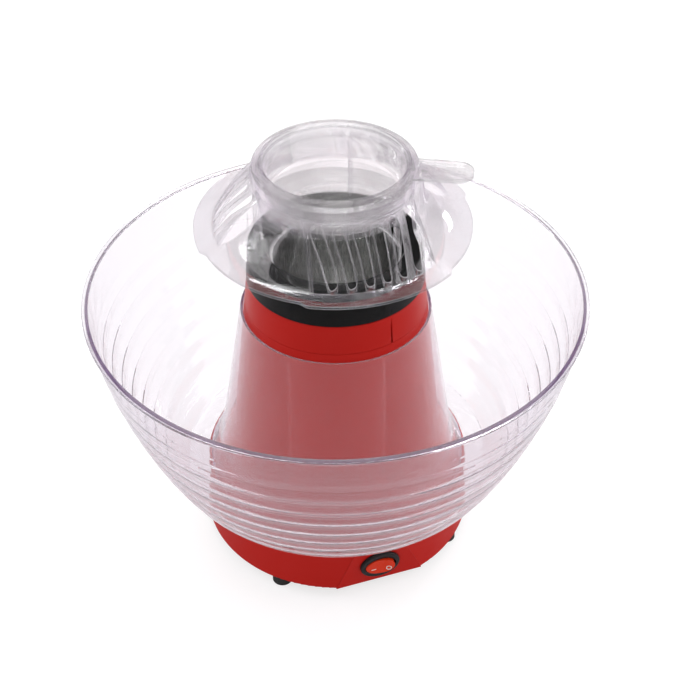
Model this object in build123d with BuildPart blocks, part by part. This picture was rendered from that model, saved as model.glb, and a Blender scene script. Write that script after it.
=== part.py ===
from build123d import *
from math import cos, radians, sin
import os

# Hot-air popcorn maker: a conical tower with the fan and heater, a ring-shaped popcorn bowl
# around it, a slotted hood on top and a measuring cup that closes the hood.
# Millimetres. Origin on the table under the tower's axis, +Z up, the switch faces -Y.

# ---- Driving dimensions: tower housing ----
WALL = 2.5
DRUM_Z = 9.0                 # lower edge of the drum above the table
DRUM_R = 103.6
SHOULDER_R = 98.0
SHOULDER_Z = 57.7
LEDGE_R = 95.2               # the bowl stands on the ring between this and the shoulder
SKIRT_R, SKIRT_Z = 78.2, 90.0
NECK_R, NECK_Z = 63.2, 228.2
SPIGOT_R, SPIGOT_H = 60.4, 8.0
GROOVE_Z = 206.0
SEAM_ANGLE = -72.5           # assembly mark that runs down the collar and the neck
FACE_Y = -98.5               # flat panel that carries the switch
FACE_HALF_BOTTOM, FACE_HALF_TOP = 34.0, 13.0

# ---- Driving dimensions: collar, chamber and shield ----
COLLAR_R, COLLAR_TOP_R = 63.6, 61.4
COLLAR_TOP_Z = 256.0
MOUTH_R, THROAT_R = 50.5, 46.0
FLANGE_Z = 244.2             # top of the chamber's flange, under the collar
CHAMBER_R, CHAMBER_Z = 45.0, 118.5
SHIELD_R, SHIELD_Z = 55.0, 106.2

# ---- Driving dimensions: fan and motor ----
BRACKET_Z, BRACKET_T, BRACKET_R = 73.7, 2.0, 72.5
DUCT_R, DUCT_TOP_Z = 50.5, 104.0
FAN_R, FAN_Z, FAN_H = 44.0, 80.0, 17.0
SHAFT_R, SHAFT_Z, SHAFT_TOP_Z = 1.6, 25.0, 99.0
RUNNING_GAP = 0.05
MOTOR_R, MOTOR_Z = 18.0, 31.7

HEATER_Z = SHIELD_Z + 6.5
RING_RADII = (16, 25, 34, 43)
DUCT_SCREW_R, DUCT_SCREW_ANGLES = 56.5, (90, 210, 330)
MOTOR_SCREWS = (-12, 12)     # places of the motor's two screws along X

# ---- Driving dimensions: base ----
PLATE_Z, PLATE_T, PLATE_R = 9.5, 3.0, 100.2
FOOT_R, FOOT_PLACE_R = 7.6, 94.6
FOOT_H = 8.2                 # below this the foot is full width, above it the neck clears the drum
BASE_SCREW_R, BASE_SCREW_ANGLES = 86.0, (22, 158, 202, 338)
POST_R = 68.0                # posts that carry the motor bracket
POST_ANGLES = (30, 150, 270)
BOSS_R, BOSS_BORE_R = 4.2, 1.5
GROMMET_Z, GROMMET_BORE_R, GROMMET_HEAD_R = 26.0, 4.0, 8.6

# ---- Driving dimensions: rocker switch and leads ----
SWITCH_Z = 25.7
OPEN_X, OPEN_Z = 12.2, 7.4   # opening in the bezel, half-sizes
ROCKER_X, ROCKER_Z = 11.2, 6.9
PIVOT_Y = FACE_Y + 1.5
ROCKER_TILT = 7.0
LEAD_R = 1.2

# ---- Driving dimensions: bowl ----
BOWL_R, BOWL_Z = 180.0, 214.2
BOWL_FLOOR_Z, BOWL_FLOOR_R = 58.1, 116.5
BOWL_WALL_R = 177.8          # wall under the rim
BOWL_T = 2.4
BAND_COUNT, BAND_GROWTH = 10, 1.15
BAND_BULGE = 0.055           # how far a band bulges, as a share of its height
SMOOTH_BANDS = 2             # uppermost bands, with no groove between them
SLEEVE_TOP_Z, SLEEVE_TOP_R = 200.2, 66.9

# ---- Driving dimensions: hood and cup ----
RING_R, RING_Z = 56.8, 315.1
TUBE_R, TUBE_Z = 52.2, 292.5
BRIM_R, BRIM_Z = 94.5, 270.0
PANEL_BRIM_R = 97.5          # the brim stands out under each slotted panel
FIN_ANGLES = (60, 180, 300)
FIN_LONG, FIN_T = 5.4, 2.2
NOTCH_DEPTH = 1.0
PANEL_ANGLES = (-88.5, 31.5, 151.5)
PANEL_TOP_HALF, PANEL_END_HALF = 39.0, 50.0   # half-widths of a slotted panel at its top and at the brim
SLOT_COUNT = 6
SLOT_TOP_PITCH, SLOT_END_PITCH = 13.0, 11.7
SLOT_TOP_W, SLOT_END_W = 7.8, 6.2
SLOT_IN_R, SLOT_OUT_R = 59.0, 83.5
HOOD_T = 2.0
CUP_R, CUP_Z, CUP_TOP_Z = 50.4, 291.5, 320.9
CUP_FLANGE_R, CUP_FLANGE_Z, CUP_FLANGE_T = 56.2, 315.5, 3.3
TAB_ANGLE, TAB_END_R, TAB_W, TAB_T = -26.5, 93.0, 25.0, 2.4
PAD_R, PAD_INSET, PAD_H = 66.0, 0.7, 0.7   # raised grip on the outer part of the tab
PIP_R, PIP_H = 0.6, 0.35


def outline(points):
    """A closed section in the XZ plane from (radius, height, corner radius) points."""
    with BuildSketch(Plane.XZ) as section:
        with BuildLine():
            FilletPolyline(*[(r, z) for r, z, _ in points], radius=[c for _, _, c in points], close=True)
        make_face()
    return section.sketch


def turn(points, mode=Mode.ADD):
    """Turn a section about the tower's axis."""
    revolve(outline(points), axis=Axis.Z, mode=mode)


def disc(radius, low, high, mode=Mode.ADD):
    """An upright round bar on the axis of the current location."""
    Cylinder(radius, high - low, align=(Align.CENTER, Align.CENTER, Align.MIN), mode=mode)


def flat_plane(height, angle):
    """A level plane on the axis, with its X turned to the given angle."""
    along = (cos(radians(angle)), sin(radians(angle)), 0)
    return Plane(origin=(0, 0, height), x_dir=along, z_dir=(0, 0, 1))


def cone_r(z):
    """Outer radius of the tower's cone at a height."""
    return NECK_R + (SKIRT_R - NECK_R) * (NECK_Z - z) / (NECK_Z - SKIRT_Z)


def screw(head_r, head_h, shank_r, length):
    """A pan-head screw that points up, with its head's top at height 0."""
    with BuildPart() as body:
        revolve(outline([(0, 0, 0), (head_r, 0, head_h / 2), (head_r, head_h, 0), (shank_r, head_h, 0),
                         (shank_r, length - shank_r, 0), (0, length, 0)]), axis=Axis.Z)
        with Locations((0, 0, head_h / 3)):
            Box(head_r * 1.3, head_h / 3, head_h, align=(Align.CENTER, Align.CENTER, Align.MAX),
                mode=Mode.SUBTRACT)
    return body.part


def wire(points, radius, bends):
    """An insulated lead along straight runs joined by tangent arcs."""
    with BuildPart() as lead:
        with BuildLine() as path:
            FilletPolyline(*points, radius=bends)
        with BuildSketch(Plane(origin=path.line @ 0, z_dir=path.line % 0)):
            Circle(radius)
        sweep()
    return lead.part


# ---- Tower housing: drum, shoulder, cone and neck in one moulding ----
with BuildPart() as tower_housing:
    turn([(DRUM_R, DRUM_Z, 0.8), (SHOULDER_R, SHOULDER_Z, 1.6), (LEDGE_R, SHOULDER_Z, 0),
          (SKIRT_R, SKIRT_Z, 40), (NECK_R, NECK_Z, 0.6), (SPIGOT_R, NECK_Z, 0),
          (SPIGOT_R, NECK_Z + SPIGOT_H, 0.5), (SPIGOT_R - 2.2, NECK_Z + SPIGOT_H, 0),
          (SPIGOT_R - 2.2, NECK_Z - 5, 0), (cone_r(NECK_Z - 10) - WALL, NECK_Z - 10, 0),
          (SKIRT_R - WALL, SKIRT_Z + 1, 30), (LEDGE_R - WALL, SHOULDER_Z - WALL, 0),
          (SHOULDER_R - WALL, SHOULDER_Z - WALL, 0), (DRUM_R - WALL, DRUM_Z, 0)])
    # flat switch panel in place of the round wall
    with BuildSketch(Plane.XZ.offset(-FACE_Y)):
        with Locations((0, SHOULDER_Z / 2)):
            Rectangle(2 * DRUM_R, SHOULDER_Z + 2)
    extrude(amount=DRUM_R, mode=Mode.SUBTRACT)
    with BuildSketch(Plane.XZ.offset(-FACE_Y)):
        with BuildLine():
            Polyline((-FACE_HALF_BOTTOM, DRUM_Z), (FACE_HALF_BOTTOM, DRUM_Z),
                     (FACE_HALF_TOP, SHOULDER_Z - 1.6), (-FACE_HALF_TOP, SHOULDER_Z - 1.6), close=True)
        make_face()
    extrude(amount=-(WALL + 0.5))
    with BuildSketch(Plane.XZ.offset(-FACE_Y)):
        with Locations((0, SWITCH_Z)):
            SlotOverall(27.6, 20)
    extrude(amount=-8, mode=Mode.SUBTRACT)
    # bosses for the base screws, each tied to the wall by a rib
    for angle in BASE_SCREW_ANGLES:
        with BuildSketch(flat_plane(PLATE_Z + PLATE_T, angle)):
            with Locations((BASE_SCREW_R, 0)):
                Circle(BOSS_R)
            with Locations((BASE_SCREW_R + 8.5, 0)):
                Rectangle(9.6, 2.5)
        extrude(amount=30)
        with BuildSketch(flat_plane(PLATE_Z + PLATE_T, angle)):
            with Locations((BASE_SCREW_R, 0)):
                Circle(BOSS_BORE_R)
        extrude(amount=18, mode=Mode.SUBTRACT)
    # posts for the motor bracket, run out into the cone
    for angle in POST_ANGLES:
        with BuildSketch(flat_plane(BRACKET_Z + BRACKET_T, angle)):
            with Locations((POST_R, 0)):
                Circle(BOSS_R)
        extrude(amount=52)
        with BuildSketch(flat_plane(BRACKET_Z + BRACKET_T, angle)):
            with Locations((POST_R, 0)):
                Circle(BOSS_BORE_R)
        extrude(amount=14, mode=Mode.SUBTRACT)
    # parting groove round the neck and the upright assembly mark
    turn([(cone_r(GROOVE_Z) - 0.7, GROOVE_Z, 0), (cone_r(GROOVE_Z) + 2, GROOVE_Z - 0.6, 0),
          (cone_r(GROOVE_Z) + 2, GROOVE_Z + 0.6, 0)], mode=Mode.SUBTRACT)
    with BuildSketch(flat_plane(GROOVE_Z, SEAM_ANGLE)):
        with Locations((NECK_R + 1.9, 0)):
            Rectangle(3.4, 1.5)
    extrude(amount=NECK_Z - GROOVE_Z + 1, mode=Mode.SUBTRACT)
    # hole for the cord grommet
    with BuildSketch(Plane.XZ.offset(-DRUM_R - 2)):
        with Locations((0, GROMMET_Z)):
            Circle(6)
    extrude(amount=12, mode=Mode.SUBTRACT)
tower_housing.part.label = "tower_housing"

# ---- Base plate with its air intake ----
with BuildPart() as base_plate:
    with BuildSketch(Plane.XY.offset(PLATE_Z)):
        Circle(PLATE_R)
        with Locations((0, FACE_Y + WALL + 0.7 - DRUM_R)):
            Rectangle(2 * DRUM_R, 2 * DRUM_R, mode=Mode.SUBTRACT)
        with PolarLocations(37, 18):
            SlotOverall(24, 5, mode=Mode.SUBTRACT)
        with PolarLocations(FOOT_PLACE_R, 4, start_angle=45):
            Circle(3.5, mode=Mode.SUBTRACT)
        for angle in BASE_SCREW_ANGLES:
            with PolarLocations(BASE_SCREW_R, 1, start_angle=angle):
                Circle(1.8, mode=Mode.SUBTRACT)
    extrude(amount=PLATE_T)
    with BuildSketch(Plane.XY.offset(PLATE_Z + PLATE_T)):
        with Locations((-52, 52), (-28, 52)):
            Circle(3)
    extrude(amount=5.5)
    with BuildSketch(Plane.XY.offset(PLATE_Z + PLATE_T)):
        Circle(57)
        Circle(55, mode=Mode.SUBTRACT)
    extrude(amount=2)
base_plate.part.label = "base_plate"

# ---- Rubber feet, each with a stem that snaps through the plate ----
with BuildPart() as rubber_feet:
    for foot in range(4):
        with BuildSketch(flat_plane(0, 45 + 90 * foot)):
            with Locations((FOOT_PLACE_R, 0)):
                Circle(FOOT_R)
        extrude(amount=FOOT_H, taper=2)
        with BuildSketch(flat_plane(FOOT_H, 45 + 90 * foot)):
            with Locations((FOOT_PLACE_R, 0)):
                Circle(FOOT_R - 2)
        extrude(amount=PLATE_Z - FOOT_H)
        with BuildSketch(flat_plane(PLATE_Z, 45 + 90 * foot)):
            with Locations((FOOT_PLACE_R, 0)):
                Circle(3.5)
        extrude(amount=PLATE_T)
        with BuildSketch(flat_plane(PLATE_Z + PLATE_T, 45 + 90 * foot)):
            with Locations((FOOT_PLACE_R, 0)):
                Circle(4.6)
        extrude(amount=2.4, taper=25)
rubber_feet.part.label = "rubber_feet"

# ---- Base screws ----
with BuildPart() as base_screws:
    for angle in BASE_SCREW_ANGLES:
        with Locations(flat_plane(PLATE_Z - 2.2, angle)):
            with Locations((BASE_SCREW_R, 0)):
                add(screw(3.4, 2.2, 1.5, 19))
base_screws.part.label = "base_screws"

# ---- Heat-resistant collar round the chamber's mouth ----
with BuildPart() as chamber_collar:
    turn([(COLLAR_R, NECK_Z + 0.2, 0.5), (COLLAR_TOP_R, COLLAR_TOP_Z, 3.4), (MOUTH_R, COLLAR_TOP_Z, 1.4),
          (THROAT_R, COLLAR_TOP_Z - 9, 2), (THROAT_R, FLANGE_Z + 0.2, 0), (57.8, FLANGE_Z + 0.2, 0),
          (57.8, NECK_Z + SPIGOT_H + 0.3, 0), (SPIGOT_R + 0.2, NECK_Z + SPIGOT_H + 0.3, 0),
          (SPIGOT_R + 0.2, NECK_Z + 0.2, 0)])
    for angle in FIN_ANGLES:
        with BuildSketch(flat_plane(COLLAR_TOP_Z - NOTCH_DEPTH, angle)):
            with Locations((TUBE_R + FIN_LONG / 2, 0)):
                Rectangle(FIN_LONG + 1, FIN_T + 1)
        extrude(amount=3, mode=Mode.SUBTRACT)
    with BuildSketch(flat_plane(NECK_Z, SEAM_ANGLE)):
        with Locations((COLLAR_R + 1.2, 0)):
            Rectangle(3.4, 1.5)
    extrude(amount=COLLAR_TOP_Z - NECK_Z - 4, mode=Mode.SUBTRACT)
    for angle in POST_ANGLES:
        with BuildSketch(flat_plane(FLANGE_Z, angle)):
            with Locations((MOUTH_R, 0)):
                Circle(1.4)
        extrude(amount=6, mode=Mode.SUBTRACT)
chamber_collar.part.label = "chamber_collar"

# ---- Popping chamber: aluminium cup with slanted louvres that make the air swirl ----
with BuildPart() as popping_chamber:
    turn([(0, CHAMBER_Z, 0), (CHAMBER_R, CHAMBER_Z, 6), (CHAMBER_R, FLANGE_Z - 1, 0), (57, FLANGE_Z - 1, 0),
          (57, FLANGE_Z, 0), (CHAMBER_R - 1, FLANGE_Z, 0.8), (CHAMBER_R - 1, CHAMBER_Z + 1, 5),
          (0, CHAMBER_Z + 1, 0)])
    for louvre in range(20):
        turned = 18 * louvre
        face = Plane(origin=(0, 0, CHAMBER_Z + 16), x_dir=(-sin(radians(turned)), cos(radians(turned)), 0),
                     z_dir=(cos(radians(turned)), sin(radians(turned)), 0))
        with BuildSketch(face.offset(CHAMBER_R - 4)):
            SlotOverall(14, 2, rotation=60)
        extrude(amount=7, mode=Mode.SUBTRACT)
    with BuildSketch(Plane.XY.offset(FLANGE_Z - 1)):
        for angle in POST_ANGLES:
            with PolarLocations(MOUTH_R, 1, start_angle=angle):
                Circle(1.4)
    extrude(amount=1, mode=Mode.SUBTRACT)
popping_chamber.part.label = "popping_chamber"

# ---- Screws that hold the chamber's flange to the collar ----
with BuildPart() as collar_screws:
    for angle in POST_ANGLES:
        with Locations(flat_plane(FLANGE_Z - 3, angle)):
            with Locations((MOUTH_R, 0)):
                add(screw(2.6, 2, 1.4, 8.6))
collar_screws.part.label = "collar_screws"

# ---- Steel heat shield round the chamber ----
with BuildPart() as heat_shield:
    turn([(SHIELD_R, SHIELD_Z, 0), (SHIELD_R, FLANGE_Z - 1, 0), (SHIELD_R - 0.8, FLANGE_Z - 1, 0),
          (SHIELD_R - 0.8, SHIELD_Z, 0)])
heat_shield.part.label = "heat_shield"

# ---- Heater: resistance wire in rings on crossed mica plates ----
with BuildPart() as heater_coil:
    for radius in RING_RADII:
        with Locations((0, 0, HEATER_Z)):
            Torus(radius, 0.8)
    for inner, outer in zip(RING_RADII, RING_RADII[1:]):
        with BuildSketch(Plane.YZ.offset(inner)):
            with Locations((0, HEATER_Z)):
                Circle(0.7)
        extrude(amount=outer - inner)
heater_coil.part.label = "heater_coil"
with BuildPart() as heater_frame:
    for angle in (45, 135):
        with BuildSketch(flat_plane(SHIELD_Z + 0.1, angle)):
            Rectangle(2 * SHIELD_R - 3.6, 1.2)
        extrude(amount=11)
    for radius in RING_RADII:
        with Locations((0, 0, HEATER_Z)):
            Torus(radius, 1.0, mode=Mode.SUBTRACT)
heater_frame.part.label = "heater_frame"

# ---- Air duct: fan chamber below, seat for the heat shield above ----
deck = BRACKET_Z + BRACKET_T
with BuildPart() as air_duct:
    turn([(DUCT_R - 2, deck, 0), (61.5, deck, 0), (61.5, deck + 2, 0), (DUCT_R, deck + 2, 1),
          (DUCT_R, DUCT_TOP_Z, 1), (56.8, DUCT_TOP_Z, 0.8), (56.8, DUCT_TOP_Z + 6, 0),
          (SHIELD_R + 0.1, DUCT_TOP_Z + 6, 0), (SHIELD_R + 0.1, DUCT_TOP_Z + 2, 0),
          (40, DUCT_TOP_Z + 2, 0.8), (40, DUCT_TOP_Z, 0.8), (DUCT_R - 2, DUCT_TOP_Z, 3)])
    with BuildSketch(Plane.XY.offset(deck)):
        with PolarLocations(DUCT_SCREW_R, 3, start_angle=90):
            Circle(1.4)
    extrude(amount=2, mode=Mode.SUBTRACT)
air_duct.part.label = "air_duct"

# ---- Motor bracket: steel disc with the fan's air inlets ----
with BuildPart() as motor_bracket:
    with BuildSketch(Plane.XY.offset(BRACKET_Z)):
        Circle(BRACKET_R)
        Circle(5, mode=Mode.SUBTRACT)
        with PolarLocations(29, 10):
            SlotOverall(17, 7, mode=Mode.SUBTRACT)
        for angle in POST_ANGLES:
            with PolarLocations(POST_R, 1, start_angle=angle):
                Circle(1.6, mode=Mode.SUBTRACT)
        with PolarLocations(DUCT_SCREW_R, 3, start_angle=90):
            Circle(1.4, mode=Mode.SUBTRACT)
        with Locations(*[(x, 0) for x in MOTOR_SCREWS]):
            Circle(1.3, mode=Mode.SUBTRACT)
    extrude(amount=BRACKET_T)
motor_bracket.part.label = "motor_bracket"
with BuildPart() as bracket_screws:
    for angle in POST_ANGLES:
        with Locations(flat_plane(BRACKET_Z - 2, angle)):
            with Locations((POST_R, 0)):
                add(screw(3, 2, 1.5, 14))
bracket_screws.part.label = "bracket_screws"
with BuildPart() as duct_screws:
    for angle in DUCT_SCREW_ANGLES:
        with Locations(flat_plane(BRACKET_Z - 1.8, angle)):
            with Locations((DUCT_SCREW_R, 0)):
                add(screw(2.6, 1.8, 1.4, 7))
duct_screws.part.label = "duct_screws"

# ---- Motor: can, magnets, end cap, turning armature and shaft ----
with BuildPart() as motor_can:
    turn([(SHAFT_R + RUNNING_GAP, BRACKET_Z, 0), (MOTOR_R, BRACKET_Z, 1.5), (MOTOR_R, MOTOR_Z, 0),
          (MOTOR_R - 1.2, MOTOR_Z, 0), (MOTOR_R - 1.2, BRACKET_Z - 2.5, 0), (5, BRACKET_Z - 2.5, 0),
          (5, BRACKET_Z - 6, 0), (SHAFT_R + RUNNING_GAP, BRACKET_Z - 6, 0)])
    with BuildSketch(Plane.XY.offset(BRACKET_Z - 2.5)):
        with Locations(*[(x, 0) for x in MOTOR_SCREWS]):
            Circle(1.3)
    extrude(amount=2.5, mode=Mode.SUBTRACT)
motor_can.part.label = "motor_can"
with BuildPart() as motor_magnets:
    with BuildSketch(Plane.XY.offset(MOTOR_Z + 6)):
        Circle(MOTOR_R - 1.2)
        Circle(12.6, mode=Mode.SUBTRACT)
        Rectangle(60, 9, mode=Mode.SUBTRACT)
    extrude(amount=26)
motor_magnets.part.label = "motor_magnets"
with BuildPart() as motor_end_cap:
    turn([(SHAFT_R + RUNNING_GAP, MOTOR_Z - 3, 0), (MOTOR_R - 0.4, MOTOR_Z - 3, 1),
          (MOTOR_R - 0.4, MOTOR_Z, 0),
          (SHAFT_R + RUNNING_GAP, MOTOR_Z, 0)])
    with BuildSketch(Plane.XY.offset(MOTOR_Z - 3)):
        with Locations((-11, 0), (11, 0)):
            Rectangle(0.8, 4)
    extrude(amount=-5)
motor_end_cap.part.label = "motor_end_cap"
with BuildPart() as motor_screws:
    for side in MOTOR_SCREWS:
        with Locations(Plane(origin=(side, 0, BRACKET_Z + BRACKET_T + 1.8), z_dir=(0, 0, -1))):
            add(screw(2.5, 1.8, 1.3, 6))
motor_screws.part.label = "motor_screws"
with BuildPart() as motor_armature:
    with BuildSketch(Plane.XY.offset(MOTOR_Z + 7)):
        Circle(11.8)
        with PolarLocations(8.5, 3):
            Rectangle(8, 2, mode=Mode.SUBTRACT)
        Circle(SHAFT_R, mode=Mode.SUBTRACT)
    extrude(amount=24)
    with BuildSketch(Plane.XY.offset(MOTOR_Z + 1.5)):
        Circle(4)
        Circle(SHAFT_R, mode=Mode.SUBTRACT)
    extrude(amount=6)
motor_armature.part.label = "motor_armature"
with BuildPart() as motor_shaft:
    turn([(0, SHAFT_Z, 0), (SHAFT_R, SHAFT_Z, 0.4), (SHAFT_R, SHAFT_TOP_Z, 0.4), (0, SHAFT_TOP_Z, 0)])
motor_shaft.part.label = "motor_shaft"

# ---- Fan impeller: hub and top disc over radial blades ----
with BuildPart() as fan_impeller:
    with BuildSketch(Plane.XY.offset(FAN_Z + FAN_H - 2)):
        Circle(FAN_R)
        Circle(SHAFT_R, mode=Mode.SUBTRACT)
    extrude(amount=2)
    with BuildSketch(Plane.XY.offset(FAN_Z)):
        Circle(6)
        Circle(SHAFT_R, mode=Mode.SUBTRACT)
    extrude(amount=FAN_H - 2)
    with BuildSketch(Plane.XY.offset(FAN_Z)):
        with PolarLocations(35.5, 16):
            Rectangle(16, 1.4, rotation=25)
    extrude(amount=FAN_H - 2)
    with BuildSketch(Plane.XY.offset(FAN_Z)):
        Circle(FAN_R)
        Circle(FAN_R - 7, mode=Mode.SUBTRACT)
    extrude(amount=1.4)
fan_impeller.part.label = "fan_impeller"

# ---- Rectifier board and its diodes ----
with BuildPart() as rectifier_board:
    with BuildSketch(Plane.XY.offset(PLATE_Z + PLATE_T + 5.5)):
        with Locations((-40, 52)):
            RectangleRounded(34, 22, 1.5)
    extrude(amount=1.6)
rectifier_board.part.label = "rectifier_board"
with BuildPart() as rectifier_diodes:
    for step in range(4):
        with BuildSketch(Plane.XZ.offset(-47 - 1)):
            with Locations((-49.5 + 6 * step, PLATE_Z + PLATE_T + 5.5 + 1.6 + 1.6)):
                Circle(1.6)
        extrude(amount=-8)
rectifier_diodes.part.label = "rectifier_diodes"

# ---- Thermostat and thermal fuse on the heat shield ----
with BuildPart() as thermostat:
    with BuildSketch(Plane.XZ.offset(-SHIELD_R)):
        with Locations((0, 150)):
            Circle(8)
            Rectangle(24, 7)
    extrude(amount=-1)
    with BuildSketch(Plane.XZ.offset(-SHIELD_R - 1)):
        with Locations((0, 150)):
            Circle(8)
    extrude(amount=-7.5)
    with BuildSketch(Plane.XZ.offset(-SHIELD_R - 8.5)):
        with Locations((-4, 150), (4, 150)):
            Rectangle(0.8, 5)
    extrude(amount=-3.5)
thermostat.part.label = "thermostat"
with BuildPart() as thermal_fuse:
    with Locations(flat_plane(158, 125)):
        with Locations((SHIELD_R + 2.1, 0)):
            disc(2, -12, 0)
            with Locations((0, 0, -20)):
                disc(0.5, -20, 8)
thermal_fuse.part.label = "thermal_fuse"

# ---- Terminal block where the supply would be joined, and the grommet in the rear wall ----
with BuildPart() as terminal_block:
    with BuildSketch(Plane.XY.offset(PLATE_Z + PLATE_T)):
        with Locations((8, 74)):
            Rectangle(32, 14)
    extrude(amount=12)
    fillet(terminal_block.edges().filter_by(Axis.Z), 1.5)
    with BuildSketch(Plane.XY.offset(PLATE_Z + PLATE_T + 12)):
        with Locations((-2, 74), (8, 74), (18, 74)):
            Circle(2.4)
    extrude(amount=-5, mode=Mode.SUBTRACT)
terminal_block.part.label = "terminal_block"
wall_y = DRUM_R - (DRUM_R - SHOULDER_R) * (GROMMET_Z - DRUM_Z) / (SHOULDER_Z - DRUM_Z)
with BuildPart() as cord_grommet:
    revolve(outline([(GROMMET_BORE_R, wall_y - 6, 0.4), (GROMMET_HEAD_R, wall_y - 6, 0.6),
                     (GROMMET_HEAD_R, wall_y - WALL - 1.7, 0), (5.9, wall_y - WALL - 1.7, 0),
                     (5.9, wall_y + 1.2, 0), (GROMMET_HEAD_R, wall_y + 1.2, 0),
                     (GROMMET_HEAD_R, wall_y + 2.6, 1), (GROMMET_BORE_R, wall_y + 2.6, 0.8)]), axis=Axis.Z)
cord_grommet.part = Plane(origin=(0, 0, GROMMET_Z), x_dir=(1, 0, 0), z_dir=(0, 1, 0)) * cord_grommet.part
cord_grommet.part.label = "cord_grommet"

# ---- Rocker switch: bezel, body, rocker and terminals ----
with BuildPart() as switch_bezel:
    with BuildSketch(Plane.XZ.offset(-FACE_Y)):
        with Locations((0, SWITCH_Z)):
            Ellipse(15.5, 11.8)
    extrude(amount=2.6)
    fillet(switch_bezel.edges().group_by(Axis.Y)[0], 1.4)
    with BuildSketch(Plane.XZ.offset(-FACE_Y)):
        with Locations((0, SWITCH_Z)):
            Ellipse(13.4, 9.6)
    extrude(amount=-5.5)
    with BuildSketch(Plane.XZ.offset(-FACE_Y + 3)):
        with Locations((0, SWITCH_Z)):
            Ellipse(OPEN_X, OPEN_Z)
    extrude(amount=-12, mode=Mode.SUBTRACT)
switch_bezel.part.label = "switch_bezel"
with BuildPart() as switch_body:
    with BuildSketch(Plane.XZ.offset(-FACE_Y - 5.5)):
        with Locations((0, SWITCH_Z)):
            RectangleRounded(28, 19, 2)
            Ellipse(OPEN_X + 0.2, OPEN_Z + 0.2, mode=Mode.SUBTRACT)
    extrude(amount=-4)
    with BuildSketch(Plane.XZ.offset(-FACE_Y - 9.5)):
        with Locations((0, SWITCH_Z)):
            RectangleRounded(28, 19, 2)
    extrude(amount=-13)
switch_body.part.label = "switch_body"
with BuildPart() as switch_rocker:
    with BuildSketch(Plane.XZ.offset(-PIVOT_Y - 5)):
        with Locations((0, SWITCH_Z)):
            Ellipse(ROCKER_X, ROCKER_Z)
    extrude(amount=11)
    fillet(switch_rocker.edges().group_by(Axis.Y)[0], 0.8)
    with BuildSketch(Plane.XY.offset(SWITCH_Z - 10)):
        with Locations((0, PIVOT_Y - 6 - 37.2)):
            Circle(38)
    extrude(amount=20, mode=Mode.SUBTRACT)
pivot = Axis((0, PIVOT_Y, SWITCH_Z), (0, 0, 1))
switch_rocker.part = switch_rocker.part.rotate(pivot, -ROCKER_TILT)
switch_rocker.part.label = "switch_rocker"
with BuildPart() as switch_terminals:
    with BuildSketch(Plane.XZ.offset(-FACE_Y - 22.5)):
        with Locations((-8, SWITCH_Z), (0, SWITCH_Z), (8, SWITCH_Z)):
            Rectangle(0.8, 4.8)
    extrude(amount=-8)
switch_terminals.part.label = "switch_terminals"

# ---- Insulated leads inside the drum ----
with BuildPart() as lead_wires:
    add(wire([(-2, 67, 17), (-2, 55, 17), (-26, 30, 16.5), (-30, -20, 16.5), (-8, -50, SWITCH_Z),
              (-8, -68, SWITCH_Z)], LEAD_R, [9, 18, 20, 12]))
    add(wire([(8, -68, SWITCH_Z), (8, -56, SWITCH_Z), (48, -34, 30), (79, 0, 58), (79, 0, 80), (66, 0, 97),
              (66, 0, 114), (SHIELD_R, 0, 114)], LEAD_R, [8, 18, 16, 8, 8, 4]))
lead_wires.part.label = "lead_wires"


# ---- Bowl: sleeve round the tower, floor and stepped outer wall ----
def band_z(k):
    """Height of the lower edge of band k of the bowl's wall."""
    return BOWL_FLOOR_Z + (BOWL_Z - 2 - BOWL_FLOOR_Z) * (k / BAND_COUNT) ** BAND_GROWTH


def bowl_r(z):
    """Mean outer radius of the bowl's wall at a height."""
    rise = (z - BOWL_FLOOR_Z) / (BOWL_Z - 2 - BOWL_FLOOR_Z)
    return BOWL_FLOOR_R + (BOWL_WALL_R - BOWL_FLOOR_R) * (1 - (1 - rise) ** 1.3) ** (1 / 1.3)


def banded_wall(inset, lift):
    """Outline points of the wall from the floor to the rim: bands that bulge out and meet in grooves."""
    points = []
    for k in range(BAND_COUNT - SMOOTH_BANDS + 1):
        low, high = band_z(k), band_z(k + 1)
        if k:
            points.append((bowl_r(low) - inset, low + lift, 0.6))
        bulge = BAND_BULGE * (high - low) * (1 if k < BAND_COUNT - SMOOTH_BANDS else 0.4)
        across, along = high - low, bowl_r(low) - bowl_r(high)
        length = (across ** 2 + along ** 2) ** 0.5
        if k:
            points.append(((bowl_r(low) + bowl_r(high)) / 2 - inset + bulge * across / length,
                           (low + high) / 2 + lift + bulge * along / length, 1.4 * (high - low)))
    points.append((bowl_r(band_z(BAND_COUNT - SMOOTH_BANDS + 1)) - inset,
                   band_z(BAND_COUNT - SMOOTH_BANDS + 1) + lift, 12))
    return points


with BuildPart() as bowl:
    sleeve_out = [(96.9, BOWL_FLOOR_Z, 1), (88.6, 74.5, 20), (83.4, 98, 60),
                  (SLEEVE_TOP_R, SLEEVE_TOP_Z, 0.7)]
    sleeve_in = [(68.8, SLEEVE_TOP_Z, 0.7), (85.3, 98, 60), (90.4, 75.5, 20),
                 (98.6, BOWL_FLOOR_Z + BOWL_T, 4)]
    floor_in = [(BOWL_FLOOR_R - 1.5, BOWL_FLOOR_Z + BOWL_T, 1.5)]
    rim = [(BOWL_WALL_R - BOWL_T, BOWL_Z - 2, 0), (BOWL_R - 4.5, BOWL_Z, 0.5), (BOWL_R, BOWL_Z, 0.7),
           (BOWL_R, BOWL_Z - 2.2, 0.7), (BOWL_WALL_R, BOWL_Z - 2.6, 0)]
    floor_out = [(BOWL_FLOOR_R, BOWL_FLOOR_Z, 1.5)]
    turn(sleeve_out + sleeve_in + floor_in + banded_wall(BOWL_T, 1.0) + rim
         + banded_wall(0, 0)[::-1] + floor_out)
bowl.part.label = "bowl"


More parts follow.
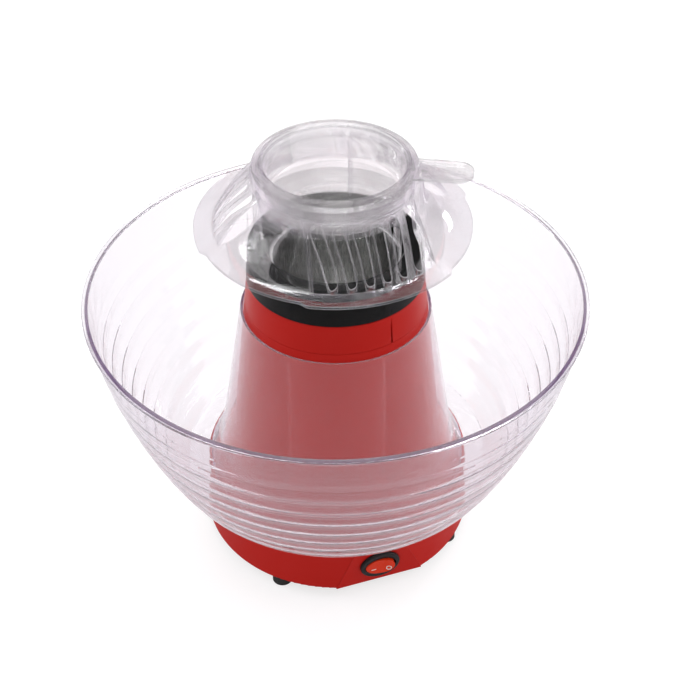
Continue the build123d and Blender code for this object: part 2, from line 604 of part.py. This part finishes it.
# ---- Hood: ring and tube for the cup, flared skirt, three slotted panels, three fins ----
def skirt_points(inset):
    """Filled section under the plain flared skirt, inset by the wall's thickness."""
    return [(0, BRIM_Z - 0.01, 0), (PANEL_BRIM_R + 1, BRIM_Z - 0.01, 0),
            (PANEL_BRIM_R + 1, BRIM_Z + HOOD_T - inset, 0), (79, BRIM_Z + 3.4 - inset, 24),
            (62.5 - inset, 289 - inset, 18), (58.2 - inset, RING_Z - 6 - inset, 0),
            (0, RING_Z - 6 - inset, 0)]


def panel_points(inset):
    """Filled section under a slotted panel, inset by the wall's thickness."""
    return [(0, BRIM_Z - 0.01, 0), (PANEL_BRIM_R + 1, BRIM_Z - 0.01, 0),
            (PANEL_BRIM_R + 1, BRIM_Z + HOOD_T - inset, 0),
            (85.5 - 0.9 * inset, BRIM_Z + HOOD_T + 0.4 - inset, 3),
            (74.6 - 1.2 * inset, 290.5 - 0.4 * inset, 60), (58.6 - 1.2 * inset, RING_Z - 6.5, 0),
            (0, RING_Z - 6.5, 0)]


def hood_form(inset):
    """The hood's filled form: skirt and panels together, inset by the wall's thickness."""
    with BuildPart() as panels:
        turn(panel_points(inset))
        with BuildSketch(Plane.XY.offset(BRIM_Z - 1)):
            for angle in PANEL_ANGLES:
                with Locations(Rot(0, 0, angle)):
                    Polygon((TUBE_R / 2, PANEL_TOP_HALF - inset), (TUBE_R / 2, inset - PANEL_TOP_HALF),
                            (TUBE_R, inset - PANEL_TOP_HALF), (PANEL_BRIM_R + 2, inset - PANEL_END_HALF),
                            (PANEL_BRIM_R + 2, PANEL_END_HALF - inset), (TUBE_R, PANEL_TOP_HALF - inset),
                            align=None)
        extrude(amount=50, mode=Mode.INTERSECT)
    with BuildPart() as form:
        turn(skirt_points(inset))
        add(panels.part)
    return form.part


def panel_slot(k):
    """Slot k of a panel in plan, with the panel along X: tapered, with rounded corners."""
    place = k - (SLOT_COUNT - 1) / 2
    top_y, end_y = place * SLOT_TOP_PITCH, place * SLOT_END_PITCH
    top_x = (SLOT_IN_R ** 2 - top_y ** 2) ** 0.5
    end_x = (SLOT_OUT_R ** 2 - end_y ** 2) ** 0.5
    with BuildSketch() as slot:
        with BuildLine():
            FilletPolyline((top_x, top_y - SLOT_TOP_W / 2), (end_x, end_y - SLOT_END_W / 2),
                           (end_x, end_y + SLOT_END_W / 2), (top_x, top_y + SLOT_TOP_W / 2),
                           radius=2.4, close=True)
        make_face()
    return slot.sketch


with BuildPart() as lid_hood:
    add(hood_form(0))
    add(hood_form(HOOD_T), mode=Mode.SUBTRACT)
    # the brim's outline: round, and wider under each panel
    with BuildSketch(Plane.XY.offset(BRIM_Z - 2)):
        for angle in PANEL_ANGLES:
            with Locations(Rot(0, 0, angle)):
                Polygon((0, 0), (77.9, -53.5), (83.6, -50.2), (100, -60),
                        (100, 60), (83.6, 50.2), (77.9, 53.5), align=None)
        Circle(PANEL_BRIM_R, mode=Mode.INTERSECT)
        Circle(BRIM_R)
    extrude(amount=60, mode=Mode.INTERSECT)
    # ring that carries the cup's flange, and the tube inside it
    with BuildSketch(Plane.XY.offset(TUBE_Z)):
        Circle(RING_R + 1)
    extrude(amount=RING_Z - TUBE_Z + 1, mode=Mode.SUBTRACT)
    turn([(TUBE_R, RING_Z, 0.6), (RING_R, RING_Z, 0.8), (RING_R, RING_Z - 5, 0),
          (RING_R + 1.4, RING_Z - 6, 0),
          (RING_R + 1.4, RING_Z - 8.6, 0), (TUBE_R + 1.6, RING_Z - 8.6, 0), (TUBE_R + 1.6, TUBE_Z, 0.5),
          (TUBE_R, TUBE_Z, 0.5)])
    # fins that stand on the collar
    for angle in FIN_ANGLES:
        with BuildSketch(flat_plane(COLLAR_TOP_Z - NOTCH_DEPTH + 0.3, angle)):
            with Locations((TUBE_R + FIN_LONG / 2 + 0.2, 0)):
                Rectangle(FIN_LONG, FIN_T)
        extrude(amount=RING_Z - 8 - COLLAR_TOP_Z)
    # tapered slots, side by side across each panel
    with BuildSketch(Plane.XY.offset(BRIM_Z - 2)):
        for angle in PANEL_ANGLES:
            with Locations(Rot(0, 0, angle)):
                for k in range(SLOT_COUNT):
                    add(panel_slot(k))
    extrude(amount=45, mode=Mode.SUBTRACT)
lid_hood.part.label = "lid_hood"

# ---- Measuring cup with its tab ----
with BuildPart() as measuring_cup:
    turn([(0, CUP_Z, 0), (47.6, CUP_Z, 2.5), (CUP_R, CUP_FLANGE_Z, 0), (CUP_FLANGE_R, CUP_FLANGE_Z, 0.6),
          (CUP_FLANGE_R, CUP_FLANGE_Z + CUP_FLANGE_T, 0.8), (CUP_R + 0.8, CUP_FLANGE_Z + CUP_FLANGE_T, 0.4),
          (CUP_R + 0.8, CUP_TOP_Z, 0.6), (CUP_R - 1.6, CUP_TOP_Z, 0.6), (46, CUP_Z + 1.8, 2),
          (0, CUP_Z + 1.8, 0)])
    with BuildSketch(flat_plane(CUP_FLANGE_Z + 0.5, TAB_ANGLE)):
        with BuildLine():
            FilletPolyline((52.5, -TAB_W / 2), (TAB_END_R, -TAB_W / 2 + 1.2), (TAB_END_R, TAB_W / 2 - 1.2),
                           (52.5, TAB_W / 2), radius=[10.5, 10.5])
            Line((52.5, TAB_W / 2), (52.5, -TAB_W / 2))
        make_face()
    extrude(amount=TAB_T)
    # raised grip with small pips on the end of the tab
    pad_end, pad_half = TAB_END_R - PAD_INSET, TAB_W / 2 - PAD_INSET
    with BuildSketch(flat_plane(CUP_FLANGE_Z + 0.5 + TAB_T, TAB_ANGLE)):
        with BuildLine():
            FilletPolyline((PAD_R, -pad_half + 0.4), (pad_end, -pad_half + 1.2), (pad_end, pad_half - 1.2),
                           (PAD_R, pad_half - 0.4), radius=[10, 10])
            Line((PAD_R, pad_half - 0.4), (PAD_R, -pad_half + 0.4))
        make_face()
    extrude(amount=PAD_H)
    with BuildSketch(flat_plane(CUP_FLANGE_Z + 0.5 + TAB_T + PAD_H, TAB_ANGLE)):
        with Locations((81, 0)):
            with GridLocations(3.6, 3.6, 4, 4):
                Circle(PIP_R)
    extrude(amount=PIP_H)
measuring_cup.part.label = "measuring_cup"

PIECES = [tower_housing, base_plate, rubber_feet, base_screws, chamber_collar, popping_chamber, collar_screws,
          heat_shield, heater_coil, heater_frame, air_duct, motor_bracket, bracket_screws, duct_screws,
          motor_can, motor_magnets, motor_end_cap, motor_screws, motor_armature, motor_shaft, fan_impeller,
          rectifier_board, rectifier_diodes, thermostat, thermal_fuse, terminal_block, cord_grommet,
          switch_bezel, switch_body, switch_rocker, switch_terminals, lead_wires, bowl, lid_hood,
          measuring_cup]
os.makedirs("parts", exist_ok=True)
for piece in PIECES:
    export_step(piece.part, f"parts/{piece.part.label}.step")
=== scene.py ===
import math
import bmesh
import bpy
from mathutils import Matrix, Vector
from mathutils.bvhtree import BVHTree


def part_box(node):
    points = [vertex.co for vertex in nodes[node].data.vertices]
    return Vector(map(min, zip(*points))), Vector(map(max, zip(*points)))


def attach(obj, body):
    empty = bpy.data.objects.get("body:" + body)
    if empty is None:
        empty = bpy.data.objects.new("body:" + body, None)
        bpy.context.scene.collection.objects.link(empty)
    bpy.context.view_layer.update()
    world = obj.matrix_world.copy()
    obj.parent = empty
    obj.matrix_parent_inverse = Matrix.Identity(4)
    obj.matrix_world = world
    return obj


# Popcorn maker in its studio: a red tower with a black collar, a clear bowl round it, and a clear
# slotted hood with a measuring cup. Metres; +Z up, the switch faces -Y.
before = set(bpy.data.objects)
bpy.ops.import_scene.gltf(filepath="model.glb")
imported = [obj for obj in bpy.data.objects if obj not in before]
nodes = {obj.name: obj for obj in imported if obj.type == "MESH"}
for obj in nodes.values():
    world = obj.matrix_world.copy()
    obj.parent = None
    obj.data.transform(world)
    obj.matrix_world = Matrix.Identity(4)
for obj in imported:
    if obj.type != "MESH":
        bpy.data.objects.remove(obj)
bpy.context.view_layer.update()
scene = bpy.context.scene

# ---- Camera: the photograph's viewing angle ----
CAMERA_AZIMUTH = math.radians(-18.5)
CAMERA_ELEVATION = math.radians(39.781)
CAMERA_DISTANCE = 1.0368
CAMERA_YAW, CAMERA_ROLL = 0.0098, -0.0075
TARGET_Z = 0.1557
LENS_MM, SENSOR_MM = 72.0, 36.0
CLIP_NEAR, CLIP_FAR = 0.01, 50


def add_camera():
    """A camera that orbits the axis, with the small yaw and roll of the photograph."""
    forward = Vector((0, math.cos(CAMERA_ELEVATION), -math.sin(CAMERA_ELEVATION)))
    place = Vector((0, 0, TARGET_Z)) - CAMERA_DISTANCE * forward
    side = Vector((1, 0, 0))
    up = side.cross(forward)
    ahead = math.cos(CAMERA_YAW) * forward + math.sin(CAMERA_YAW) * side
    right = math.cos(CAMERA_YAW) * side - math.sin(CAMERA_YAW) * forward
    tilted_right = math.cos(CAMERA_ROLL) * right + math.sin(CAMERA_ROLL) * up
    tilted_up = math.cos(CAMERA_ROLL) * up - math.sin(CAMERA_ROLL) * right
    turn = Matrix.Rotation(CAMERA_AZIMUTH, 4, "Z")
    pose = Matrix((tilted_right, tilted_up, -ahead)).transposed().to_4x4()
    pose.translation = place
    data = bpy.data.cameras.new("camera")
    data.lens, data.sensor_width = LENS_MM, SENSOR_MM
    data.clip_start, data.clip_end = CLIP_NEAR, CLIP_FAR
    camera = bpy.data.objects.new("camera", data)
    camera.matrix_world = turn @ pose
    scene.collection.objects.link(camera)
    scene.camera = camera


# ---- Shader helpers ----
BEVEL_SAMPLES = 4
EDGE_BAND = (0.99, 0.80)  # the rounded normal times the true one: untouched, and full at the edge (wear on plastic and metal, a painted highlight on clear plastic)


def colour_sockets(sockets):
    """The sockets of a mix node that carry colour."""
    return [socket for socket in sockets if socket.type == "RGBA"]


class Shader:
    """A material's node tree, with short names for the nodes that it is built from."""

    def __init__(self, name):
        self.material = bpy.data.materials.new(name)
        self.material.use_nodes = True
        self.tree = self.material.node_tree
        self.surface = self.tree.nodes["Principled BSDF"]
        self.output = self.tree.nodes["Material Output"]
        self.place = self.node("ShaderNodeTexCoord").outputs["Object"]

    def node(self, kind, **values):
        made = self.tree.nodes.new(kind)
        for key, value in values.items():
            setattr(made, key, value)
        return made

    def link(self, source, target):
        self.tree.links.new(source, target)

    def set(self, **values):
        """Constants on the surface shader's own sockets."""
        for key, value in values.items():
            self.surface.inputs[key.replace("_", " ")].default_value = value

    def paint(self, kind, colour):
        """A plain shader of one colour, such as a diffuse or a transparent one."""
        made = self.node(kind)
        made.inputs["Color"].default_value = (*colour, 1)
        return made.outputs[0]

    def noise(self, scale, detail=2.0, rough=0.5, stretch=None):
        """Noise with this many features to the metre."""
        made = self.node("ShaderNodeTexNoise")
        made.inputs["Scale"].default_value = scale
        made.inputs["Detail"].default_value = detail
        made.inputs["Roughness"].default_value = rough
        place = self.place
        if stretch:
            mapping = self.node("ShaderNodeMapping")
            mapping.inputs["Scale"].default_value = stretch
            self.link(place, mapping.inputs["Vector"])
            place = mapping.outputs["Vector"]
        self.link(place, made.inputs["Vector"])
        return made.outputs["Fac"]

    def spread(self, value, source, target):
        """A value's range mapped on to another, clamped; each range is its two ends."""
        made = self.node("ShaderNodeMapRange")
        for key, number in zip(("From Min", "From Max", "To Min", "To Max"), (*source, *target)):
            made.inputs[key].default_value = number
        self.link(value, made.inputs["Value"])
        return made.outputs["Result"]

    def blend(self, share, first, second):
        """A colour between two colours; each is a socket or a constant."""
        made = self.node("ShaderNodeMix", data_type="RGBA")
        for socket, colour in zip(colour_sockets(made.inputs), (first, second)):
            if isinstance(colour, tuple):
                socket.default_value = (*colour, 1)
            else:
                self.link(colour, socket)
        self.link(share, made.inputs["Factor"])
        return colour_sockets(made.outputs)[0]

    def math(self, operation, first, second):
        """Two values joined by a sum, product or the like."""
        made = self.node("ShaderNodeMath", operation=operation)
        for socket, value in zip(made.inputs, (first, second)):
            if isinstance(value, (int, float)):
                socket.default_value = value
            else:
                self.link(value, socket)
        return made.outputs[0]

    def mix_shader(self, share, first, second):
        """Two shaders mixed; the share of the second is a socket or a constant."""
        made = self.node("ShaderNodeMixShader")
        if isinstance(share, (int, float)):
            made.inputs[0].default_value = share
        else:
            self.link(share, made.inputs[0])
        self.link(first, made.inputs[1])
        self.link(second, made.inputs[2])
        return made.outputs[0]

    def bump(self, height, distance, under=None):
        """A relief of this depth in metres, over another normal if one is given."""
        made = self.node("ShaderNodeBump")
        made.inputs["Strength"].default_value = 1.0
        made.inputs["Distance"].default_value = distance
        self.link(height, made.inputs["Height"])
        if under:
            self.link(under, made.inputs["Normal"])
        return made.outputs["Normal"]

    def soft_edge(self, radius):
        """A normal that rounds sharp edges off to this radius."""
        made = self.node("ShaderNodeBevel", samples=BEVEL_SAMPLES)
        made.inputs["Radius"].default_value = radius
        return made.outputs["Normal"]

    def edge_wear_and_highlight(self, rounded):
        """One where the rounded normal leaves the true one, at an edge."""
        dot = self.node("ShaderNodeVectorMath", operation="DOT_PRODUCT")
        self.link(rounded, dot.inputs[0])
        self.link(self.node("ShaderNodeNewGeometry").outputs["Normal"], dot.inputs[1])
        return self.spread(dot.outputs["Value"], EDGE_BAND, (0, 1))


# ---- Moulded plastic: features to the metre, and how much each one shows ----
FLOW_SCALE, SPECK_SCALE, SMUDGE_SCALE, SCRATCH_SCALE = 14, 1900, 42, 900
SCRATCH_STRETCH = (1, 0.06, 1)
SPECK_BAND, SMUDGE_BAND, SCRATCH_BAND = (0.42, 0.62), (0.35, 0.7), (0.60, 0.70)
SPECK_SHARE = 0.35
SMUDGE_LESS, SMUDGE_MORE = 0.02, 0.03
SCRATCH_ROUGH = 0.10
FLOW_LIFT = 0.004
WORN_GAIN, WORN_LIFT = 1.35, 0.02


def toned(colour, gain, lift=0.0):
    """A colour made brighter or darker, and kept at white or below."""
    return tuple(min(1, c * gain + lift) for c in colour)


def moulded(name, colour, rough, grain=0.00002, grain_scale=5200, edge=0.0005, tone=0.04,
            worn=0.12, gloss=0.3):
    """Injection-moulded plastic: fine mould grain, faint flow tone, smudges and softly rubbed edges."""
    s = Shader(name)
    s.set(Specular_IOR_Level=gloss)
    dark = toned(colour, 1 - tone)
    flow = s.blend(s.noise(FLOW_SCALE, detail=3, rough=0.55), dark, toned(colour, 1 + tone, FLOW_LIFT))
    speck = s.blend(s.spread(s.noise(SPECK_SCALE), SPECK_BAND, (0, SPECK_SHARE)), flow, dark)
    rounded = s.soft_edge(edge)
    wear = s.math("MULTIPLY", s.edge_wear_and_highlight(rounded), worn)
    pale = toned(colour, WORN_GAIN, WORN_LIFT)
    s.link(s.blend(wear, speck, pale), s.surface.inputs["Base Color"])
    smudges = s.noise(SMUDGE_SCALE, detail=5, rough=0.6)
    smudge = s.spread(smudges, SMUDGE_BAND, (rough - SMUDGE_LESS, rough + SMUDGE_MORE))
    scratch = s.spread(s.noise(SCRATCH_SCALE, stretch=SCRATCH_STRETCH), SCRATCH_BAND, (0, SCRATCH_ROUGH))
    s.link(s.math("ADD", smudge, scratch), s.surface.inputs["Roughness"])
    s.link(s.bump(s.noise(grain_scale), grain, rounded), s.surface.inputs["Normal"])
    return s.material


# ---- Metal ----
STAIN_SCALE, BRUSH_SCALE = 60, 2600
BRUSH_DEPTH = 0.000008
BRUSH_LESS, BRUSH_MORE = 0.08, 0.1
METAL_EDGE = 0.0003
METAL_BAND = (0.3, 0.7)
STAIN_GAIN, BRIGHT_GAIN = 0.72, 1.2


def metal(name, colour, rough, brushed=(1, 1, 1)):
    """Metal with a brushed or rolled grain, stains in its tone and bright edges."""
    s = Shader(name)
    s.set(Metallic=1.0)
    rounded = s.soft_edge(METAL_EDGE)
    stains = s.spread(s.noise(STAIN_SCALE, detail=5, rough=0.6), METAL_BAND, (0, 1))
    tone = s.blend(stains, toned(colour, STAIN_GAIN), colour)
    bright = toned(colour, BRIGHT_GAIN)
    s.link(s.blend(s.edge_wear_and_highlight(rounded), tone, bright), s.surface.inputs["Base Color"])
    grain = s.noise(BRUSH_SCALE, detail=3, rough=0.6, stretch=brushed)
    roughness = s.spread(grain, METAL_BAND, (rough - BRUSH_LESS, rough + BRUSH_MORE))
    s.link(roughness, s.surface.inputs["Roughness"])
    s.link(s.bump(grain, BRUSH_DEPTH, rounded), s.surface.inputs["Normal"])
    return s.material


# ---- Clear plastic ----
CLEAR_IOR = 1.49
TINT_SCALE, CLOUD_SCALE, SCUFF_SCALE, RIPPLE_SCALE = 20, 30, 1200, 36
TINT_GAIN = 1.01
CLOUD_ROUGH, SCUFF_ROUGH = 0.02, 0.08
CLOUD_BAND, SCUFF_BAND = (0.4, 0.75), (0.68, 0.76)
SCUFF_STRETCH = (1, 0.05, 0.3)
CLEAR_EDGE = 0.0006
EDGE_BLEND, SLANT_BLEND = 0.1, 0.5
THIN_ROUGH = 0.02
THIN_POWER, THIN_FACE_ON, THIN_SLANTED = 5, 0.015, 0.8
# A whitish diffuse that grows where the walls slant: a faint haze, and painted sheen for the light that
# slanting walls reflect.
HAZE_AND_SHEEN_POWER = 3
EDGE_ON_TINT = (0.70, 0.67, 0.70)
HAZE_AND_SHEEN = (0.95, 0.93, 0.95)
# Grey laid on the rounded edges of clear plastic: a painted highlight for the light that those edges catch.
EDGE_HIGHLIGHT_GREY = (0.55, 0.53, 0.55)
LAMP_THROUGH = (0.99, 0.99, 0.99)
INSIDE_TINT = (0.62, 0.47, 0.72)


def facing(s, blend):
    """Nought face on, and one where the surface is seen edge on."""
    made = s.node("ShaderNodeLayerWeight")
    made.inputs["Blend"].default_value = blend
    return made.outputs["Facing"]


def thin_wall(s, tint, slant):
    """A wall that light passes straight on through, with more gloss the more it slants."""
    through = s.node("ShaderNodeBsdfTransparent")
    s.link(s.blend(facing(s, EDGE_BLEND), tint, EDGE_ON_TINT), through.inputs["Color"])
    gloss = s.node("ShaderNodeBsdfGlossy")
    gloss.inputs["Roughness"].default_value = THIN_ROUGH
    share = s.spread(s.math("POWER", slant, THIN_POWER), (0, 1), (THIN_FACE_ON, THIN_SLANTED))
    return s.mix_shader(share, through.outputs[0], gloss.outputs[0])


def clear(name, tint, ripple, absorb_density, straight, edge_highlight, haze_and_sheen):
    """Clear moulded plastic: flow ripples, faint haze and scuffs, and a tint inside; a whitish haze with
    painted sheen where the walls slant, and a painted grey highlight on rounded edges.
    A share of the light passes straight on, as through a thin wall, and so does all that the lamps cast."""
    s = Shader(name)
    s.set(Transmission_Weight=1.0, IOR=CLEAR_IOR)
    s.link(s.blend(s.noise(TINT_SCALE), tint, toned(tint, TINT_GAIN)), s.surface.inputs["Base Color"])
    cloud = s.spread(s.noise(CLOUD_SCALE, detail=4, rough=0.6), CLOUD_BAND, (0, CLOUD_ROUGH))
    scuff = s.spread(s.noise(SCUFF_SCALE, stretch=SCUFF_STRETCH), SCUFF_BAND, (0, SCUFF_ROUGH))
    s.link(s.math("ADD", cloud, scuff), s.surface.inputs["Roughness"])
    s.link(s.bump(s.noise(RIPPLE_SCALE), ripple), s.surface.inputs["Normal"])
    slant = facing(s, SLANT_BLEND)
    seen = s.mix_shader(straight, s.surface.outputs[0], thin_wall(s, tint, slant))
    # Haze with painted sheen: the whitish diffuse mixed in where the wall slants.
    haze_and_sheen_share = s.math("MULTIPLY", s.math("POWER", slant, HAZE_AND_SHEEN_POWER), haze_and_sheen)
    seen = s.mix_shader(haze_and_sheen_share, seen, s.paint("ShaderNodeBsdfDiffuse", HAZE_AND_SHEEN))
    # Painted highlight: the grey diffuse laid on the rounded edges.
    edges = s.math("MULTIPLY", s.edge_wear_and_highlight(s.soft_edge(CLEAR_EDGE)), edge_highlight)
    seen = s.mix_shader(edges, seen, s.paint("ShaderNodeBsdfDiffuse", EDGE_HIGHLIGHT_GREY))
    ray = s.node("ShaderNodeLightPath")
    cast = s.math("MAXIMUM", ray.outputs["Is Shadow Ray"], ray.outputs["Is Diffuse Ray"])
    lit = s.paint("ShaderNodeBsdfTransparent", LAMP_THROUGH)
    s.link(s.mix_shader(cast, seen, lit), s.output.inputs["Surface"])
    inside = s.node("ShaderNodeVolumeAbsorption")
    inside.inputs["Color"].default_value = (*INSIDE_TINT, 1)
    inside.inputs["Density"].default_value = absorb_density
    s.link(inside.outputs[0], s.output.inputs["Volume"])
    return s.material


# ---- The materials, and which node wears which ----
RED = (0.43, 0.008, 0.004)
BLACK = (0.002, 0.002, 0.002)
HOOD_CLEAR = (0.995, 0.992, 0.995)
BOWL_CLEAR = (0.987, 0.982, 0.987)
CUP_CLEAR = (0.985, 0.983, 0.978)
# In clear(), the last two arguments weigh the painted highlight on the edges and the haze with painted sheen
# where the walls slant.
materials = {
    "red_plastic": moulded("red_plastic", RED, 0.32, gloss=0.08),
    "clear_plastic": clear("clear_plastic", BOWL_CLEAR, 0.00006, 40, 0.1, edge_highlight=0.2, haze_and_sheen=0.22),
    "black_gloss": moulded("black_gloss", BLACK, 0.12, grain=0.000004, edge=0.0006, worn=0.3, gloss=0.1),
    "black_plastic": moulded("black_plastic", (0.009, 0.009, 0.009), 0.42, grain=0.00005, grain_scale=2600),
    "rubber": moulded("rubber", (0.022, 0.021, 0.021), 0.7, grain=0.00006, grain_scale=1800),
    "steel": metal("steel", (0.62, 0.61, 0.59), 0.30, (1, 1, 0.15)),
    "aluminium": metal("aluminium", (0.83, 0.83, 0.82), 0.27, (1, 1, 0.05)),
    "heater_wire": metal("heater_wire", (0.38, 0.34, 0.30), 0.5),
    "mica": moulded("mica", (0.55, 0.47, 0.33), 0.35, grain=0.00004, grain_scale=900, tone=0.25),
    "ferrite": moulded("ferrite", (0.07, 0.066, 0.064), 0.55, grain=0.00008, grain_scale=1500, tone=0.2),
    "white_plastic": moulded("white_plastic", (0.78, 0.76, 0.70), 0.35),
    "circuit_board": moulded("circuit_board", (0.06, 0.22, 0.07), 0.35, tone=0.2),
    "rocker_red": moulded("rocker_red", (0.60, 0.028, 0.004), 0.22, gloss=0.15, grain=0.000008, edge=0.0004),
    "brass": metal("brass", (0.80, 0.60, 0.28), 0.3),
    "wire_insulation": moulded("wire_insulation", (0.75, 0.74, 0.70), 0.5),
}
# In clear(), the last two arguments weigh the painted highlight on the edges and the haze with painted sheen
# where the walls slant.
own_looks = {
    "lid_hood": clear("clear_hood", HOOD_CLEAR, 0.00002, 12, 0.78, edge_highlight=0.95, haze_and_sheen=0.0),
    "measuring_cup": clear("clear_cup", CUP_CLEAR, 0.00002, 10, 0.6, edge_highlight=0.7, haze_and_sheen=0.0),
}
for name, node in nodes.items():
    slot_name = node.data.materials[0].name.split(".")[0]
    for slot in node.material_slots:
        slot.material = own_looks.get(name, materials[slot_name])


# ---- Generic on and off marks printed on the rocker ----
MARK_LIFT, MARK_DEPTH = 0.00006, 0.00012
MARK_Z_DROP = 0.0019
RAY_GAP = 0.01
ON_X, ON_HALF_LENGTH, ON_HALF_WIDTH = -0.0058, 0.0019, 0.00035
OFF_X, OFF_OUT_R, OFF_IN_R = 0.0057, 0.0021, 0.0015
ON_STEPS, OFF_STEPS = 8, 48


def printed_mark(name, rows):
    """A thin strip that lies on the rocker; each row is its inner and outer point in X and Z.
    It closes on itself when the last row is the first one again."""
    rocker = nodes["switch_rocker"]
    corners = [vert.co for vert in rocker.data.vertices]
    tree = BVHTree.FromPolygons(corners, [face.vertices for face in rocker.data.polygons])
    start_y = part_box("switch_rocker")[0].y - RAY_GAP
    closed = rows[0] == rows[-1]
    mesh = bmesh.new()
    rings = []
    for inner, outer in rows[:-1] if closed else rows:
        ring = []
        for (x, z), sunk in ((inner, 0), (outer, 0), (outer, MARK_DEPTH), (inner, MARK_DEPTH)):
            hit, normal, _, _ = tree.ray_cast(Vector((x, start_y, z)), Vector((0, 1, 0)))
            ring.append(mesh.verts.new(hit + normal * (MARK_LIFT - sunk)))
        rings.append(ring)
    if closed:
        rings.append(rings[0])
    for ring, following in zip(rings, rings[1:]):
        for k in range(4):
            mesh.faces.new((ring[k], ring[(k + 1) % 4], following[(k + 1) % 4], following[k]))
    if not closed:
        mesh.faces.new(rings[0])
        mesh.faces.new(rings[-1])
    bmesh.ops.recalc_face_normals(mesh, faces=mesh.faces)
    data = bpy.data.meshes.new(name)
    mesh.to_mesh(data)
    mark = bpy.data.objects.new(name, data)
    scene.collection.objects.link(mark)
    data.materials.append(materials["white_plastic"])
    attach(mark, "rocker")


rocker_low, rocker_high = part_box("switch_rocker")
mark_z = (rocker_low.z + rocker_high.z) / 2 - MARK_Z_DROP
bar = [ON_X + ON_HALF_LENGTH * (2 * k / ON_STEPS - 1) for k in range(ON_STEPS + 1)]
printed_mark("mark_on", [((x, mark_z - ON_HALF_WIDTH), (x, mark_z + ON_HALF_WIDTH)) for x in bar])
turns = [2 * math.pi * (k % OFF_STEPS) / OFF_STEPS for k in range(OFF_STEPS + 1)]
printed_mark("mark_off", [
    tuple((OFF_X + r * math.cos(a), mark_z + r * math.sin(a)) for r in (OFF_IN_R, OFF_OUT_R)) for a in turns])

# ---- Studio: floor, soft boxes and a pale room ----
FLOOR_HALF = 6.0
FLOOR_COLOUR, FLOOR_MIRRORED = (0.35, 0.35, 0.35), (0.75, 0.73, 0.75)
FLOOR_GLOW = 0.72
FLOOR_ROUGH, FLOOR_GLOSS = 0.9, 0.1
ROOM_STRENGTH = 0.7
ROOM_TOP = 0.8
PLAIN_LOW, PLAIN_HIGH = (0.88, 0.86, 0.90), (1.0, 1.0, 1.0)
GLOSS_LOW, GLOSS_HIGH = (0.45, 0.43, 0.46), (0.40, 0.40, 0.40)
LAMPS = {  # place, height of the point aimed at, width, height, watts
    "overhead": ((0.1, 0.9, 1.9), 0.2, 1.1, 0.8, 13),
    "left_box": ((-1.6, 0.3, 1.1), 0.2, 0.9, 1.3, 9),
    "right_box": ((1.6, 0.2, 1.1), 0.2, 1.0, 1.3, 11),
    "strip": ((0.75, 1.0, 0.62), 0.25, 0.10, 0.5, 2.2),
}
MAX_BOUNCES, MAX_CLEAR_WALLS = 32, 16


def mirrored(tree):
    """One for light that gloss mirrors, and nought for light seen directly or through clear plastic."""
    ray = tree.nodes.new("ShaderNodeLightPath")
    both = tree.nodes.new("ShaderNodeMath")
    both.operation = "MULTIPLY"
    tree.links.new(ray.outputs["Is Glossy Ray"], both.inputs[0])
    tree.links.new(ray.outputs["Is Reflection Ray"], both.inputs[1])
    return both.outputs[0]


def add_floor():
    """A plain pale floor that glows a little, and is dimmer where gloss mirrors it."""
    mesh = bpy.data.meshes.new("floor")
    corners = [(x * FLOOR_HALF, y * FLOOR_HALF, 0) for x, y in ((-1, -1), (1, -1), (1, 1), (-1, 1))]
    mesh.from_pydata(corners, [], [(0, 1, 2, 3)])
    floor = bpy.data.objects.new("floor", mesh)
    scene.collection.objects.link(floor)
    s = Shader("floor")
    s.set(Base_Color=(*FLOOR_COLOUR, 1), Roughness=FLOOR_ROUGH, Specular_IOR_Level=FLOOR_GLOSS)
    s.set(Emission_Color=(1, 1, 1, 1), Emission_Strength=FLOOR_GLOW)
    dim = s.paint("ShaderNodeBsdfDiffuse", FLOOR_MIRRORED)
    s.link(s.mix_shader(mirrored(s.tree), s.surface.outputs[0], dim), s.output.inputs["Surface"])
    mesh.materials.append(s.material)


def add_soft_box(name, place, aim_z, width, height, watts):
    """A rectangular lamp, placed as the camera sees it, that faces a point on the axis."""
    place = Matrix.Rotation(CAMERA_AZIMUTH, 4, "Z") @ Vector(place)
    data = bpy.data.lights.new(name, "AREA")
    data.shape = "RECTANGLE"
    data.size, data.size_y = width, height
    data.energy = watts
    lamp = bpy.data.objects.new(name, data)
    lamp.location = place
    lamp.rotation_euler = (Vector((0, 0, aim_z)) - place).to_track_quat("-Z", "Y").to_euler()
    scene.collection.objects.link(lamp)


def add_room():
    """The room's light: white through clear walls, and dimmer to the sides where gloss mirrors it."""
    world = bpy.data.worlds.new("room")
    world.use_nodes = True
    tree = world.node_tree
    direction = tree.nodes.new("ShaderNodeTexCoord").outputs["Generated"]
    split = tree.nodes.new("ShaderNodeSeparateXYZ")
    tree.links.new(direction, split.inputs[0])
    shades = []
    for low, high in ((PLAIN_LOW, PLAIN_HIGH), (GLOSS_LOW, GLOSS_HIGH)):
        ramp = tree.nodes.new("ShaderNodeValToRGB")
        first, last = ramp.color_ramp.elements
        first.position, first.color = 0.0, (*low, 1)
        last.position, last.color = ROOM_TOP, (*high, 1)
        tree.links.new(split.outputs["Z"], ramp.inputs[0])
        shades.append(ramp.outputs[0])
    mix = tree.nodes.new("ShaderNodeMix")
    mix.data_type = "RGBA"
    tree.links.new(mirrored(tree), mix.inputs["Factor"])
    for shade, socket in zip(shades, colour_sockets(mix.inputs)):
        tree.links.new(shade, socket)
    background = tree.nodes["Background"]
    tree.links.new(colour_sockets(mix.outputs)[0], background.inputs["Color"])
    background.inputs["Strength"].default_value = ROOM_STRENGTH
    scene.world = world


add_camera()
add_floor()
add_room()
for name, (place, aim_z, width, height, watts) in LAMPS.items():
    add_soft_box(name, place, aim_z, width, height, watts)
scene.view_settings.view_transform = "Standard"
scene.cycles.max_bounces = scene.cycles.transmission_bounces = MAX_BOUNCES
scene.cycles.transparent_max_bounces = MAX_CLEAR_WALLS
